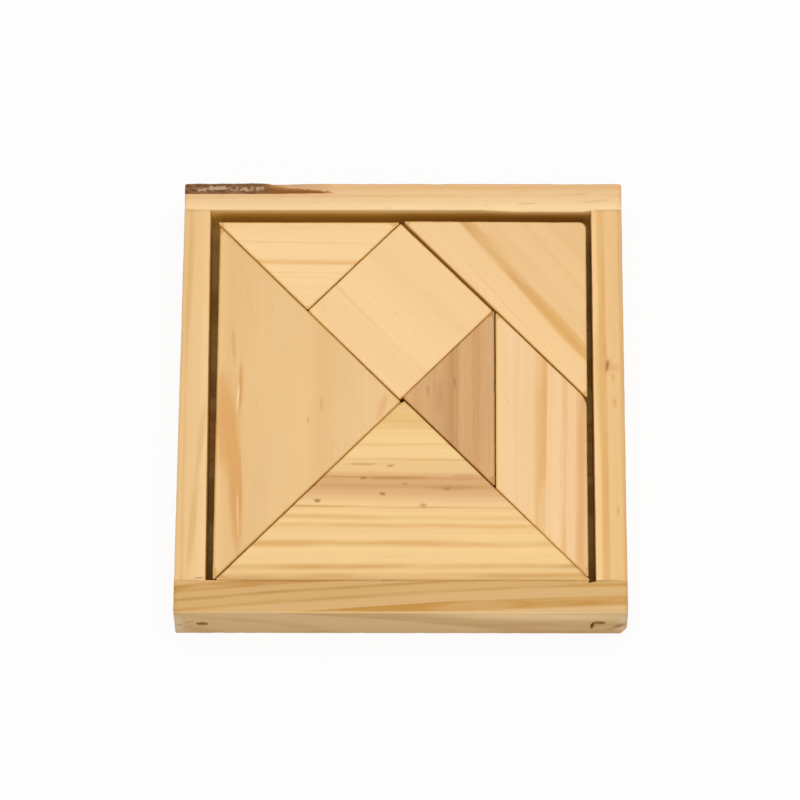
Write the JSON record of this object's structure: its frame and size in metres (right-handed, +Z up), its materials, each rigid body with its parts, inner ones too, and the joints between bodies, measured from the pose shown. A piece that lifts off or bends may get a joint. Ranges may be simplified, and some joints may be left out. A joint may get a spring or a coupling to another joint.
{
  "type": "tangram puzzle",
  "caption": "Square wooden tangram: flat triangles, a square and a parallelogram laid in a shallow nailed tray.",
  "frame": {"origin": "middle of the tray's footprint, on the surface it stands on", "axes": "+Z up; +Y from the player's side to the back strip; +X to the player's right"},
  "size_m": [0.1222, 0.1222, 0.021],
  "materials": {
    "pine": "planed and sanded, unvarnished",
    "grained_pine": "planed and sanded, strong grain",
    "red_wood": "planed and sanded, reddish brown",
    "pink_wood": "planed and sanded, pinkish",
    "plywood": "thin unfinished plywood",
    "nail_steel": "dulled wire nails"
  },
  "bodies": {
    "root": {"front_rail": "pine", "back_rail": "pine", "left_rail": "pine", "right_rail": "pine", "left_large_triangle": "pine", "front_large_triangle": "grained_pine", "back_small_triangle": "pine", "middle_small_triangle": "red_wood", "square_piece": "pine", "parallelogram_piece": "pink_wood", "medium_triangle": "pine", "base_board": "plywood", "corner_nails": "nail_steel"}
  },
  "joints": []
}
